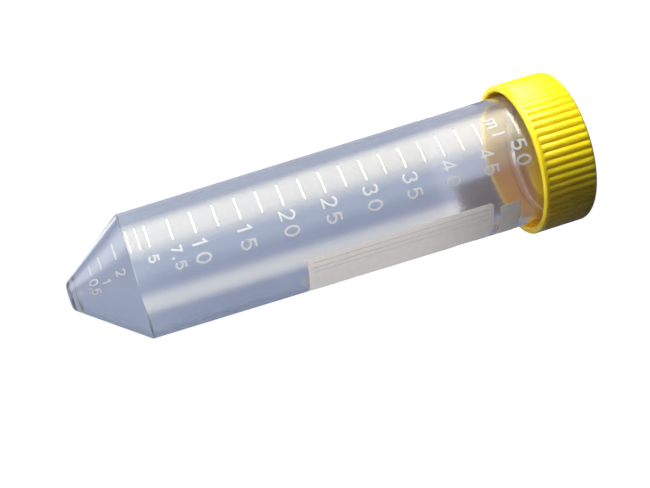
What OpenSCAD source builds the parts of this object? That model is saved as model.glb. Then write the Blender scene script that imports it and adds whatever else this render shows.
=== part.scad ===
// Conical-bottomed laboratory tube with a ribbed screw cap, closed and standing on its cap.
//
// Two mouldings: a clear tube with a straight neck, a slightly tapered body and a blunt
// cone, and a screw cap with a ribbed skirt and a plug seal that goes into the mouth.
// The blunt cone can't carry the tube and its round side rolls, so it stands upside down on
// the flat top of its cap, tip up.
//
// Millimetres. +Z is up, along the tube's axis from the cap to the tip. The origin is the
// middle of the cap's flat top, on the surface. Each moulding is drawn tip down, with its
// tip at 0, and stand_on_cap() then turns both over.

/* [Tube] */
// Length of the tube from its tip to its mouth
tube_length = 113.4; // [90:0.1:140]
// Outer diameter of the straight neck, and of the body where it meets the neck
neck_od = 29.8; // [24:0.1:38]
// Length of the straight neck under the mouth
neck_length = 11.4; // [9:0.1:14]
// Angle by which each side of the body closes towards the cone
body_draft = 0.67; // [0.2:0.01:1]
// Thickness of the tube's wall
tube_wall = 1.2; // [0.9:0.05:1.6]
// Length of the cone, from the tip to the shoulder
cone_length = 14.2; // [11:0.1:18]
// Diameter of the blunt tip, before its edge is rounded
tip_od = 5.8; // [4.8:0.1:8]
// Thickness of the solid bottom inside the tip
bottom_thickness = 2.2; // [1.6:0.1:3]
// Rounding of the edge of the tip
tip_round = 1.6; // [1:0.1:1.9]
// Rounding of the shoulder, where the body meets the cone
shoulder_round = 0.5; // [0.3:0.05:1]
// Rounding of the two edges of the mouth
mouth_round = 0.35; // [0.2:0.05:0.4]

/* [Cap] */
// Height of the cap from the rim of its skirt to its flat top
cap_height = 12.6; // [11:0.1:16]
// Thickness of the cap's top
cap_top = 1.6; // [1.2:0.1:2.5]
// Thickness of the skirt, out to the crests of the ribs
skirt_wall = 1.5; // [1.2:0.05:2]
// Radial room for the thread between the tube's neck and the skirt
thread_room = 1.05; // [0.8:0.05:1.5]
// Rounding of the edge between the skirt and the flat top
cap_edge_round = 1.25; // [0.8:0.05:1.5]
// Rounding of the outer edge of the skirt's rim
rim_round = 0.4; // [0.2:0.05:0.5]
// Height of the smooth band at the rim of the skirt
rim_band = 0.9; // [0.6:0.1:1.5]
// Number of ribs round the skirt
rib_count = 60; // [40:1:72]
// Rounding radius of each rib's crest
rib_round = 1.05; // [0.9:0.05:1.5]
// Depth of the grooves between the ribs
rib_depth = 0.4; // [0.2:0.05:0.5]

/* [Plug seal] */
// Depth that the plug goes into the mouth
plug_depth = 3.6; // [2.5:0.1:6]
// Thickness of the plug's ring
plug_wall = 1.0; // [0.7:0.05:1.4]
// Radial gap between the plug and the mouth
plug_clearance = 0.12; // [0.05:0.01:0.3]
// Chamfer that leads the plug into the mouth
plug_lead_in = 0.5; // [0.2:0.1:0.7]

/* [Hidden] */
$fn = 96;
// Straight pieces that each rounded corner of an outline is drawn with
arc_steps = 8;
// How far a cutting shape runs past the face that it cuts
overrun = 1;

// Tube
neck_r = neck_od / 2;
neck_z = tube_length - neck_length;
shoulder_r = neck_r - tan(body_draft) * (neck_z - cone_length);
mouth_r = neck_r - tube_wall;
tip_r = tip_od / 2;
cone_angle = atan2(shoulder_r - tip_r, cone_length);
// Radial thickness of the cone's sloping wall
cone_wall = tube_wall / cos(cone_angle);
inner_shoulder_r = shoulder_r - tube_wall;
inner_shoulder_z = cone_length + (cone_wall - tube_wall) / tan(cone_angle);
inner_tip_r = max(0.8, tip_r + tan(cone_angle) * bottom_thickness - cone_wall);
inner_tip_round = inner_tip_r * 0.6;

// Cap
skirt_inner_r = neck_r + thread_room;
cap_r = skirt_inner_r + skirt_wall;
groove_r = cap_r - rib_depth;
cap_top_z = tube_length + cap_top;
rim_z = cap_top_z - cap_height;
plug_r = mouth_r - plug_clearance;
rim_chamfer = skirt_wall / 5;

// A path is a list of [[radius, height], rounding] corners, in order round the section.
// Centre of the arc that rounds corner b of the path a, b, c.
function arc_centre(a, b, c, rounding) =
    let (
        u = (a - b) / norm(a - b),
        v = (c - b) / norm(c - b),
        half_angle = acos(u * v) / 2
    )
    b + (u + v) / norm(u + v) * rounding / sin(half_angle);

// Points of that arc, from the side of a to the side of c.
function arc_points(a, b, c, rounding) =
    let (
        centre = arc_centre(a, b, c, rounding),
        reach = norm(arc_centre(a, b, c, rounding) - b),
        tangent = sqrt(reach * reach - rounding * rounding),
        first = b + (a - b) / norm(a - b) * tangent - centre,
        last = b + (c - b) / norm(c - b) * tangent - centre,
        start = atan2(first[1], first[0]),
        turn = (atan2(last[1], last[0]) - start + 540) % 360 - 180
    )
    [for (i = [0:arc_steps])
        centre + rounding * [cos(start + turn * i / arc_steps), sin(start + turn * i / arc_steps)]];

// Outline of a path, with each corner rounded as the path says.
function outline(path) =
    let (n = len(path))
    [for (i = [0:n - 1])
        let (corner = path[i], before = path[(i + n - 1) % n][0], after = path[(i + 1) % n][0])
        each corner[1] > 0
            ? arc_points(before, corner[0], after, corner[1])
            : [corner[0]]];

// Turns children over, so that the cap's flat top is on the surface.
module stand_on_cap() {
    translate([0, 0, cap_top_z])
        rotate([180, 0, 0])
            children();
}

// Clear tube: one moulding, open at the mouth and solid at the tip.
module tube() {
    wall_section = outline([
        [[0, 0], 0],
        [[tip_r, 0], tip_round],
        [[shoulder_r, cone_length], shoulder_round],
        [[neck_r, neck_z], 0],
        [[neck_r, tube_length], mouth_round],
        [[mouth_r, tube_length], mouth_round],
        [[mouth_r, neck_z], 0],
        [[inner_shoulder_r, inner_shoulder_z], shoulder_round],
        [[inner_tip_r, bottom_thickness], inner_tip_round],
        [[0, bottom_thickness], 0]
    ]);
    color([0.74, 0.80, 0.92, 0.6])
        stand_on_cap()
            rotate_extrude()
                polygon(wall_section);
}

// Outline of the ribbed skirt: rounded ribs side by side round a plain disc.
module ribbed_outline() {
    circle(r = groove_r);
    for (i = [0:rib_count - 1])
        rotate([0, 0, i * 360 / rib_count])
            translate([cap_r - rib_round, 0])
                circle(r = rib_round, $fn = 32);
}

// Outer form of the cap before it is hollowed: ribs between a smooth band and a round edge.
module cap_form() {
    envelope = outline([
        [[0, rim_z], 0],
        [[cap_r, rim_z], rim_round],
        [[cap_r, cap_top_z], cap_edge_round],
        [[0, cap_top_z], 0]
    ]);
    intersection() {
        rotate_extrude()
            polygon(envelope);
        union() {
            translate([0, 0, rim_z])
                cylinder(r = cap_r, h = rim_band);
            translate([0, 0, rim_z])
                linear_extrude(height = cap_height)
                    ribbed_outline();
        }
    }
}

// Room inside the skirt, up to the underside of the top, with a chamfered entry.
module skirt_room() {
    translate([0, 0, rim_z - overrun])
        cylinder(r = skirt_inner_r, h = tube_length - rim_z + overrun);
    translate([0, 0, rim_z])
        cylinder(r1 = skirt_inner_r + rim_chamfer, r2 = skirt_inner_r, h = rim_chamfer);
}

// Ring under the top that plugs the mouth.
module plug_ring() {
    ring_section = [
        [plug_r - plug_wall, tube_length - plug_depth],
        [plug_r - plug_lead_in, tube_length - plug_depth],
        [plug_r, tube_length - plug_depth + 2 * plug_lead_in],
        [plug_r, tube_length + cap_top / 2],
        [plug_r - plug_wall, tube_length + cap_top / 2]
    ];
    rotate_extrude()
        polygon(ring_section);
}

// Screw cap: one moulding, seated with the underside of its top on the tube's mouth.
module screw_cap() {
    color([0.96, 0.87, 0.08])
        stand_on_cap()
            union() {
                difference() {
                    cap_form();
                    skirt_room();
                }
                plug_ring();
            }
}

tube();
screw_cap();
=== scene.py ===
"""Looks for a closed 50 ml conical laboratory tube, standing on its cap on a pale floor.

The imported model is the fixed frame. A clear tube with its neck thread and a yellow screw cap
with ribs and its own thread replace the two plain solids, at the same sizes and places. The
scale, its numbers and the writing panel are thin layers of white ink on the tube's wall.

Each moulding is made in metres with the tube's tip down at the origin and its axis on Z, and
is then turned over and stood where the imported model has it, with its cap on the floor.
"""

import logging
import math
from collections.abc import Callable, Iterator, Mapping, Sequence
from contextlib import contextmanager
from dataclasses import dataclass, field
from enum import Enum

import bmesh
import bpy
import numpy as np
from bpy.types import (
    Light,
    Material,
    Node,
    NodeSocket,
    NodeTreeInterfaceSocket,
    Object,
    ShaderNodeTree,
)
from mathutils import Matrix, Vector


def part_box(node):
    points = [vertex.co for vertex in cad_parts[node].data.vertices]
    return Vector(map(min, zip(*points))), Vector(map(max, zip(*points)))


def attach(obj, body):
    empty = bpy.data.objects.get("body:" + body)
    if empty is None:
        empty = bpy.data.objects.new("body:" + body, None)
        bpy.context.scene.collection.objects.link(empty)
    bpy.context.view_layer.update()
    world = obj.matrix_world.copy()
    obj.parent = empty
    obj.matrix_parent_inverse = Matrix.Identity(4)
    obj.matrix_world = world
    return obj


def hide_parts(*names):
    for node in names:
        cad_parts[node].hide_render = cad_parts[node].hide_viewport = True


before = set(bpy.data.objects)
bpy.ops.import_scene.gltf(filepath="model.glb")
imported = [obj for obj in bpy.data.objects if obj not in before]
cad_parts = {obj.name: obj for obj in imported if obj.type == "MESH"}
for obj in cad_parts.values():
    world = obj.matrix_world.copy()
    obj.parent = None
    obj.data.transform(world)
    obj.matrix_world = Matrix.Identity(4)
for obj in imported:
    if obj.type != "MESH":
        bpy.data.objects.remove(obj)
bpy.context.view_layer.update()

LOG = logging.getLogger("conical_tube")
MM = 0.001
MILLILITRE = 1000  # cubic millimetres
FULL_TURN = 2 * math.pi

# Vertices nearer than the first are one, edges shorter than the second are none, and
# what is nearer to the axis than the third lies on it
SAME_PLACE = 0.0008 * MM
NO_LENGTH = 0.0005 * MM
ON_AXIS = 0.001 * MM

# How far apart nodes are drawn in the editor, and the range that most of a noise lies in
NODE_STEP = 190
NOISE_RANGE = (0.3, 0.7)

Colour = tuple[float, float, float]
Value = float | tuple[float, ...] | NodeSocket
Stroke = list[tuple[float, float]]
RadiusRule = Callable[[np.ndarray, np.ndarray, np.ndarray], np.ndarray]


class Body(Enum):
    """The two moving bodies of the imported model."""

    TUBE = "tube"
    CAP = "cap"


class Solid(Enum):
    """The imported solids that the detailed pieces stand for."""

    TUBE = "tube"
    CAP = "screw_cap"


class Slot(Enum):
    """The record's material slots."""

    TUBE = "clear_tube"
    CAP = "yellow_cap"
    INK = "white_ink"


class Line(Enum):
    """Widths of the printed lines, in metres."""

    BOLD = 0.48 * MM
    FINE = 0.42 * MM
    FAINT = 0.30 * MM


# ---------------------------------------------------------------------------
# Mesh tools
# ---------------------------------------------------------------------------


def select_only(*objects: Object) -> None:
    """Selects these objects alone and makes the first of them the active one.

    Args:
        objects: The objects to select.
    """
    bpy.ops.object.select_all(action="DESELECT")
    for item in objects:
        item.select_set(True)
    bpy.context.view_layer.objects.active = objects[0]


@contextmanager
def editing(target: Object, mode: str = "VERT") -> Iterator[None]:
    """Holds an object in edit mode with all of its mesh selected.

    Args:
        target: The mesh object to edit.
        mode: What is selected, VERT, EDGE or FACE.
    """
    select_only(target)
    bpy.ops.object.mode_set(mode="EDIT")
    bpy.ops.mesh.select_mode(type=mode)
    bpy.ops.mesh.select_all(action="SELECT")
    try:
        yield
    finally:
        bpy.ops.object.mode_set(mode="OBJECT")


def apply_place(target: Object) -> None:
    """Applies an object's place, turn and scale to its mesh."""
    select_only(target)
    bpy.ops.object.transform_apply(location=True, rotation=True, scale=True)


def smooth(target: Object, angle: float) -> None:
    """Shades a mesh smooth, with sharp edges where faces meet at more than an angle in degrees."""
    select_only(target)
    bpy.ops.object.shade_smooth_by_angle(angle=math.radians(angle))


def points_of(target: Object) -> np.ndarray:
    """Reads the places of a mesh's vertices.

    Args:
        target: The mesh object.

    Returns:
        One row of three numbers for each vertex.
    """
    found = np.empty(len(target.data.vertices) * 3, np.float64)
    target.data.vertices.foreach_get("co", found)
    return found.reshape(-1, 3)


def move_points(target: Object, places: np.ndarray) -> None:
    """Gives a mesh's vertices new places, one row of three numbers for each of them."""
    target.data.vertices.foreach_set("co", places.astype(np.float32).ravel())
    target.data.update()


def move_radially(target: Object, rule: RadiusRule) -> None:
    """Moves a mesh's vertices straight away from the axis or towards it.

    Args:
        target: The mesh object.
        rule: Gives the new radii for radii, angles round the axis and heights.
    """
    places = points_of(target)
    radius = np.hypot(places[:, 0], places[:, 1])
    angle = np.arctan2(places[:, 1], places[:, 0])
    wanted = rule(radius, angle, places[:, 2])
    places[:, :2] *= (wanted / np.maximum(radius, ON_AXIS))[:, None]
    move_points(target, places)


def ease(value: np.ndarray) -> np.ndarray:
    """Returns 0 to 1 with soft ends, for values that run from 0 to 1."""
    held = np.clip(value, 0.0, 1.0)
    return held * held * (3.0 - 2.0 * held)


# ---------------------------------------------------------------------------
# Turned mouldings
# ---------------------------------------------------------------------------


@dataclass(frozen=True)
class Corner:
    """One corner of a moulding's section, with the radius that rounds it."""

    radius: float
    height: float
    rounding: float = 0.0

    @property
    def place(self) -> Vector:
        """The corner as a point of the section's plane."""
        return Vector((self.radius, self.height))


@dataclass(frozen=True)
class Stretch:
    """Corners that follow each other in a section and are cut equally fine.

    Each arc has a number of straight pieces, and none is longer than the longest.
    """

    corners: Sequence[Corner]
    arc_pieces: int
    longest: float


def arc_centre(before: Vector, corner: Vector, after: Vector, rounding: float) -> Vector:
    """Finds the centre of the arc that rounds a corner.

    Args:
        before: The corner before it.
        corner: The corner that is rounded.
        after: The corner after it.
        rounding: The arc's radius.

    Returns:
        The arc's centre.
    """
    u, v = (before - corner).normalized(), (after - corner).normalized()
    half = u.angle(v) / 2
    return corner + (u + v).normalized() * (rounding / math.sin(half))


def rounded_path(corners: Sequence[Corner], arc_pieces: int) -> list[Vector]:
    """Turns corners into a line, with arcs at the rounded ones.

    Args:
        corners: The corners in order. The first and last aren't rounded.
        arc_pieces: Straight pieces in each arc.

    Returns:
        The line's points in the section's plane.
    """
    path: list[Vector] = []
    for i, corner in enumerate(corners):
        if not corner.rounding:
            path.append(corner.place)
            continue
        before, after = corners[i - 1].place, corners[i + 1].place
        centre = arc_centre(before, corner.place, after, corner.rounding)
        ends = []
        for other in (before, after):
            along = (other - corner.place).normalized()
            ends.append(corner.place + along * (centre - corner.place).dot(along) - centre)
        turn = ends[0].angle_signed(ends[1])
        for k in range(arc_pieces + 1):
            path.append(centre + Matrix.Rotation(-turn * k / arc_pieces, 2) @ ends[0])
    return path


def section_points(*stretches: Stretch) -> list[Vector]:
    """Turns stretches into one line of points.

    Args:
        stretches: The stretches in order, from the axis round to the axis again. Each starts
            at the last corner of the one before it.

    Returns:
        Points of the XZ plane.
    """
    points: list[Vector] = []
    joint: list[Corner] = []
    for stretch in stretches:
        corners = [*joint, *stretch.corners]
        path = rounded_path(corners, stretch.arc_pieces)
        if not joint:
            points.append(path[0])
        for a, b in zip(path, path[1:]):
            pieces = max(1, math.ceil((b - a).length / stretch.longest))
            points.extend(a.lerp(b, k / pieces) for k in range(1, pieces + 1))
        joint = corners[-1:]
    return [Vector((p.x, 0.0, p.y)) for p in points]


def draw_section(name: str, points: Sequence[Vector]) -> Object:
    """Draws a line of edges by extruding one vertex from point to point.

    Args:
        name: The new object's name.
        points: The points of the line.

    Returns:
        The object that holds the line.
    """
    bpy.ops.mesh.primitive_plane_add(size=MM, location=(0, 0, 0))
    drawn = bpy.context.object
    drawn.name = drawn.data.name = name
    with editing(drawn):
        bpy.ops.mesh.merge(type="CENTER")
        bpy.ops.transform.translate(value=points[0])
        for before, after in zip(points, points[1:]):
            bpy.ops.mesh.extrude_vertices_move(TRANSFORM_OT_translate={"value": after - before})
    return drawn


def spin(steps: int, angle: float, copies: bool = False) -> None:
    """Spins all of the mesh in edit mode round the axis, as a surface or as copies."""
    bpy.ops.mesh.select_all(action="SELECT")
    bpy.ops.mesh.spin(steps=steps, dupli=copies, angle=angle, center=(0, 0, 0), axis=(0, 0, 1))


def close_shell(target: Object) -> None:
    """Merges a spun mesh's seam and poles and turns its faces outwards.

    Args:
        target: The mesh object.
    """
    with editing(target):
        bpy.ops.mesh.remove_doubles(threshold=SAME_PLACE)
        bpy.ops.mesh.dissolve_degenerate(threshold=NO_LENGTH)
        bpy.ops.mesh.select_all(action="SELECT")
        bpy.ops.mesh.normals_make_consistent(inside=False)


@dataclass(frozen=True)
class Thread:
    """A single-start helical thread on a round wall, whose ridge runs out at both ends."""

    start: float
    turns: float
    first_angle: float = 0.0
    pitch: float = 3.6 * MM
    depth: float = 0.75 * MM
    root: float = 1.7 * MM
    crest: float = 0.7 * MM
    run_out: float = 0.10

    def height_at(self, angle: np.ndarray, height: np.ndarray) -> np.ndarray:
        """Finds how far the thread stands off the wall.

        Args:
            angle: Angles round the axis, in radians.
            height: Heights along the axis.

        Returns:
            The distance off the wall at each place.
        """
        around = ((angle - self.first_angle) / FULL_TURN) % 1.0
        level = (height - self.start) / self.pitch - around
        nearest = np.clip(np.round(level), 0, math.ceil(self.turns))
        off = np.abs(level - nearest) * self.pitch
        flank = (self.root - self.crest) / 2
        ridge = ease(1.0 - (off - self.crest / 2) / flank)
        turned = nearest + around
        ends = ease(turned / self.run_out) * ease((self.turns - turned) / self.run_out)
        return self.depth * ridge * ends


# ---------------------------------------------------------------------------
# Shader tools
# ---------------------------------------------------------------------------


class Canvas:
    """A node tree under construction."""

    def __init__(self, tree: ShaderNodeTree) -> None:
        """Starts on a tree, which is emptied."""
        tree.nodes.clear()
        self.tree = tree

    def node(self, kind: str, **settings: str | ShaderNodeTree) -> Node:
        """Adds a node to the right of the nodes before it.

        Args:
            kind: The node's type.
            settings: Properties that are set on it.

        Returns:
            The node.
        """
        made = self.tree.nodes.new(kind)
        made.location = (NODE_STEP * len(self.tree.nodes), 0)
        for name, value in settings.items():
            setattr(made, name, value)
        return made

    def feed(self, node: Node, values: Mapping[str | int, Value]) -> Node:
        """Sets a node's inputs.

        Args:
            node: The node.
            values: Its inputs, each with a plain value or the socket that it is joined to.

        Returns:
            The same node.
        """
        for name, value in values.items():
            if isinstance(value, NodeSocket):
                self.tree.links.new(value, node.inputs[name])
            else:
                node.inputs[name].default_value = value
        return node

    def math(self, kind: str, a: NodeSocket, b: NodeSocket | float = 0.0) -> NodeSocket:
        """Joins one or two numbers by an operation and returns the result's socket."""
        return self.feed(self.node("ShaderNodeMath", operation=kind), {0: a, 1: b}).outputs[0]

    def ramp(
        self,
        value: NodeSocket,
        given: tuple[float, float],
        wanted: tuple[float, float],
        shape: str = "LINEAR",
    ) -> NodeSocket:
        """Maps a value from one range to another and holds it there.

        Args:
            value: The value.
            given: The range that it comes in.
            wanted: The range that it is mapped to.
            shape: How it runs between the two ends.

        Returns:
            The mapped value.
        """
        made = self.node("ShaderNodeMapRange", interpolation_type=shape)
        ends = dict(zip(("From Min", "From Max", "To Min", "To Max"), (*given, *wanted)))
        return self.feed(made, {"Value": value, **ends}).outputs["Result"]

    def mix(self, share: NodeSocket, plain: Colour | NodeSocket, changed: Colour) -> NodeSocket:
        """Mixes two colours.

        Args:
            share: The share of the second colour.
            plain: The first colour.
            changed: The second colour.

        Returns:
            The mixed colour.
        """
        first = plain if isinstance(plain, NodeSocket) else (*plain, 1.0)
        made = self.node("ShaderNodeMix", data_type="RGBA")
        return self.feed(made, {0: share, 6: first, 7: (*changed, 1.0)}).outputs[2]

    def by_ray(self, passing: Colour, diffuse: Colour, seen: Colour) -> NodeSocket:
        """Chooses a colour by the kind of ray that meets it.

        Args:
            passing: The colour in reflections and through clear plastic.
            diffuse: The colour that is thrown onto dull surfaces.
            seen: The colour that is looked at directly.

        Returns:
            The chosen colour.
        """
        ray = self.node("ShaderNodeLightPath").outputs
        inner = self.mix(ray["Is Diffuse Ray"], passing, diffuse)
        return self.mix(ray["Is Camera Ray"], inner, seen)


class Group(Canvas):
    """A shader node group under construction, with named numbers in and out."""

    def __init__(self, name: str, takes: Mapping[str, float]) -> None:
        """Starts a group.

        Args:
            name: The group's name.
            takes: The numbers that it takes, each with its usual value.
        """
        super().__init__(bpy.data.node_groups.new(name, "ShaderNodeTree"))
        for number, usual in takes.items():
            self.add_socket(number, "INPUT").default_value = usual
        self.given, self.result = self.node("NodeGroupInput"), self.node("NodeGroupOutput")

    def add_socket(self, name: str, way: str) -> NodeTreeInterfaceSocket:
        """Adds a number to what the group takes or gives."""
        return self.tree.interface.new_socket(name, in_out=way, socket_type="NodeSocketFloat")

    def gives(self, name: str, source: NodeSocket) -> None:
        """Adds a number that the group gives, and joins it to its source."""
        self.add_socket(name, "OUTPUT")
        self.feed(self.result, {name: source})


def build_moulded_grain() -> ShaderNodeTree:
    """Builds the fine grain and slow waves that a mould leaves in plastic.

    Returns:
        The node group. It takes the two sizes and shares, and gives both patterns and a height.
    """
    usual = {"Grain Scale": 2500.0, "Grain Share": 0.5, "Wave Scale": 160.0, "Wave Share": 0.5}
    group = Group("moulded_grain", usual)
    place = group.node("ShaderNodeTexCoord").outputs["Object"]
    heights = []
    for pattern, look in (
        ("Grain", {"Detail": 3.0, "Roughness": 0.55}),
        ("Wave", {"Detail": 1.5, "Roughness": 0.45, "Distortion": 0.4}),
    ):
        size, share = (group.given.outputs[f"{pattern} {part}"] for part in ("Scale", "Share"))
        noise = group.node("ShaderNodeTexNoise")
        group.feed(noise, {"Vector": place, "Scale": size, **look})
        group.gives(pattern, noise.outputs["Fac"])
        heights.append(group.math("MULTIPLY", noise.outputs["Fac"], share))
    group.gives("Height", group.math("ADD", *heights))
    return group.tree


def build_handling_marks() -> ShaderNodeTree:
    """Builds the scattered fine scuffs that handling leaves on plastic and ink.

    Returns:
        The node group. It takes a size and an amount, and gives a mask.
    """
    group = Group("handling_marks", {"Scale": 300.0, "Amount": 0.3})
    place = group.node("ShaderNodeTexCoord").outputs["Object"]
    size = group.given.outputs["Scale"]
    patch = group.node("ShaderNodeTexNoise")
    group.feed(patch, {"Vector": place, "Scale": size, "Detail": 2.0, "Roughness": 0.6})
    cells = group.node("ShaderNodeTexVoronoi", feature="DISTANCE_TO_EDGE")
    group.feed(cells, {"Vector": place, "Scale": group.math("MULTIPLY", size, 3.1)})
    where = group.ramp(patch.outputs["Fac"], (0.45, 0.75), (0.0, 1.0))
    edge = group.ramp(cells.outputs["Distance"], (0.0, 0.12), (1.0, 0.0))
    both = group.math("MULTIPLY", where, edge)
    group.gives("Mask", group.math("MULTIPLY", both, group.given.outputs["Amount"]))
    return group.tree


@dataclass(frozen=True)
class SharedEffects:
    """The node groups that the finishes share."""

    grain: ShaderNodeTree = field(default_factory=build_moulded_grain)
    marks: ShaderNodeTree = field(default_factory=build_handling_marks)


class Surface(Canvas):
    """A material under construction, with one Principled shader and its output."""

    def __init__(self, name: str) -> None:
        """Starts a material.

        Args:
            name: The material's name.
        """
        self.material = bpy.data.materials.new(name)
        self.material.use_nodes = True
        super().__init__(self.material.node_tree)
        self.shader = self.node("ShaderNodeBsdfPrincipled")
        self.output = self.node("ShaderNodeOutputMaterial")
        self.feed(self.output, {"Surface": self.shader.outputs["BSDF"]})

    def above(self, zone: tuple[float, float], most: float = 1.0) -> NodeSocket:
        """Rises smoothly over a zone of height in the piece's own frame.

        Args:
            zone: The heights where the rise starts and ends.
            most: The value above the zone; below it the value is nothing.

        Returns:
            The value at each point.
        """
        spot = self.node("ShaderNodeTexCoord").outputs["Object"]
        parts = self.feed(self.node("ShaderNodeSeparateXYZ"), {0: spot})
        return self.ramp(parts.outputs["Z"], zone, (0.0, most), "SMOOTHSTEP")

    def let_lamps_through(self, tint: NodeSocket) -> None:
        """Lets the light of lamps pass a clear wall straight, to what is inside.

        Args:
            tint: The share of light that each face lets through.
        """
        clear = self.feed(self.node("ShaderNodeBsdfTransparent"), {"Color": tint}).outputs["BSDF"]
        shadow = self.node("ShaderNodeLightPath").outputs["Is Shadow Ray"]
        both = self.node("ShaderNodeMixShader")
        self.feed(both, {0: shadow, 1: self.shader.outputs["BSDF"], 2: clear})
        self.feed(self.output, {"Surface": both.outputs["Shader"]})


# ---------------------------------------------------------------------------
# Finishes
# ---------------------------------------------------------------------------


@dataclass(frozen=True)
class Grain:
    """Sizes and shares of a finish's fine grain and slow waves."""

    fine: float
    fine_share: float
    slow: float
    slow_share: float

    def values(self) -> dict[str, float]:
        """Returns the values by the names of the shared group's inputs."""
        names = ("Grain Scale", "Grain Share", "Wave Scale", "Wave Share")
        return dict(zip(names, (self.fine, self.fine_share, self.slow, self.slow_share)))


@dataclass(frozen=True)
class Finish:
    """What every finish of this object has: moulded grain, scuffs and a fine bump."""

    name: str
    grain: Grain
    scuff_size: float
    scuff_amount: float
    roughness: tuple[float, float]
    bump: float
    bump_height: float

    def start(self, effects: SharedEffects) -> tuple[Surface, dict[str, NodeSocket]]:
        """Starts the material: places the shared groups and joins the bump.

        Args:
            effects: The shared node groups.

        Returns:
            The material under construction, and its patterns by name: Wave, Mask, which is
            the scuffs, and Satin, which is the grain as a roughness.
        """
        surface = Surface(self.name)
        grain = surface.node("ShaderNodeGroup", node_tree=effects.grain)
        grain = surface.feed(grain, self.grain.values()).outputs
        marks = surface.node("ShaderNodeGroup", node_tree=effects.marks)
        marks = surface.feed(marks, {"Scale": self.scuff_size, "Amount": self.scuff_amount}).outputs
        bump = surface.feed(
            surface.node("ShaderNodeBump"),
            {"Strength": self.bump, "Distance": self.bump_height, "Height": grain["Height"]},
        )
        surface.feed(surface.shader, {"Normal": bump.outputs["Normal"]})
        satin = surface.ramp(grain["Grain"], NOISE_RANGE, self.roughness)
        return surface, {"Wave": grain["Wave"], "Mask": marks["Mask"], "Satin": satin}


@dataclass(frozen=True)
class ClearFinish(Finish):
    """Clear moulded polypropylene with a cool tint and a fine haze.

    Lamp light passes it straight, warmed beside the neck to paint amber light inside the cap, and
    plain above the neck's zone.
    The tip has a little more haze.
    """

    name: str = "clear_polypropylene"
    grain: Grain = Grain(1500.0, 0.6, 210.0, 0.5)
    scuff_size: float = 240.0
    scuff_amount: float = 0.08
    roughness: tuple[float, float] = (0.06, 0.12)
    bump: float = 0.35
    bump_height: float = 0.05 * MM
    tint: Colour = (0.90, 0.91, 0.93)
    deeper: Colour = (0.86, 0.875, 0.91)
    clearness: float = 0.96
    index: float = 1.49
    # Painted light: lamp light through the wall beside the neck is warmed, which paints an amber
    # glow on the cap's inside
    lamp_tint: Colour = (0.95, 0.785, 0.62)
    lamp_clear: Colour = (0.90, 0.90, 0.91)
    neck_zone: tuple[float, float] = (20 * MM, 36 * MM)
    frost: float = 0.10
    frost_zone: tuple[float, float] = (111.5 * MM, 114.5 * MM)

    def make(self, effects: SharedEffects) -> Material:
        """Builds the material.

        Args:
            effects: The shared node groups.

        Returns:
            The material.
        """
        surface, pattern = self.start(effects)
        haze = surface.math("ADD", pattern["Satin"], surface.above(self.frost_zone, self.frost))
        surface.feed(
            surface.shader,
            {
                "Base Color": surface.mix(pattern["Wave"], self.tint, self.deeper),
                "Roughness": surface.math("ADD", haze, pattern["Mask"]),
                "Transmission Weight": self.clearness,
                "IOR": self.index,
            },
        )
        # Painted light: warm lamp light below the neck's zone, plain above it
        above = surface.above(self.neck_zone)
        surface.let_lamps_through(surface.mix(above, self.lamp_tint, self.lamp_clear))
        return surface.material


@dataclass(frozen=True)
class CapFinish(Finish):
    """Opaque bright yellow moulded polyethylene, satin."""

    name: str = "yellow_polyethylene"
    grain: Grain = Grain(3400.0, 0.7, 260.0, 0.6)
    scuff_size: float = 320.0
    scuff_amount: float = 0.2
    roughness: tuple[float, float] = (0.20, 0.28)
    bump: float = 0.22
    bump_height: float = 0.03 * MM
    yellow: Colour = (0.87, 0.68, 0.010)
    warm: Colour = (0.84, 0.63, 0.008)
    index: float = 1.5
    gloss: float = 0.22
    softness: float = 0.65
    depth: float = 2.0 * MM
    depth_shares: Colour = (1.0, 0.80, 0.08)

    def make(self, effects: SharedEffects) -> Material:
        """Builds the material.

        Args:
            effects: The shared node groups.

        Returns:
            The material.
        """
        surface, pattern = self.start(effects)
        surface.feed(
            surface.shader,
            {
                "Base Color": surface.mix(pattern["Wave"], self.yellow, self.warm),
                "Roughness": surface.math("ADD", pattern["Satin"], pattern["Mask"]),
                "IOR": self.index,
                "Specular IOR Level": self.gloss,
                "Subsurface Weight": self.softness,
                "Subsurface Radius": self.depth_shares,
                "Subsurface Scale": self.depth,
            },
        )
        return surface.material


@dataclass(frozen=True)
class InkFinish(Finish):
    """White screen-printed ink, thinner in places and where it is scuffed."""

    name: str = "white_ink"
    grain: Grain = Grain(4200.0, 0.8, 700.0, 0.4)
    scuff_size: float = 420.0
    scuff_amount: float = 0.5
    roughness: tuple[float, float] = (0.38, 0.55)
    bump: float = 0.15
    bump_height: float = 0.01 * MM
    white: Colour = (0.365, 0.368, 0.380)
    thin: Colour = (0.34, 0.345, 0.36)
    thinning: float = 0.6
    gloss: float = 0.40

    def make(self, effects: SharedEffects) -> Material:
        """Builds the material.

        Args:
            effects: The shared node groups.

        Returns:
            The material.
        """
        surface, pattern = self.start(effects)
        uneven = surface.ramp(pattern["Wave"], NOISE_RANGE, (0.0, self.thinning))
        worn = surface.math("MAXIMUM", uneven, pattern["Mask"])
        surface.feed(
            surface.shader,
            {
                "Base Color": surface.mix(worn, self.white, self.thin),
                "Roughness": pattern["Satin"],
                "Specular IOR Level": self.gloss,
            },
        )
        return surface.material


# ---------------------------------------------------------------------------
# Rest
# ---------------------------------------------------------------------------


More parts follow.
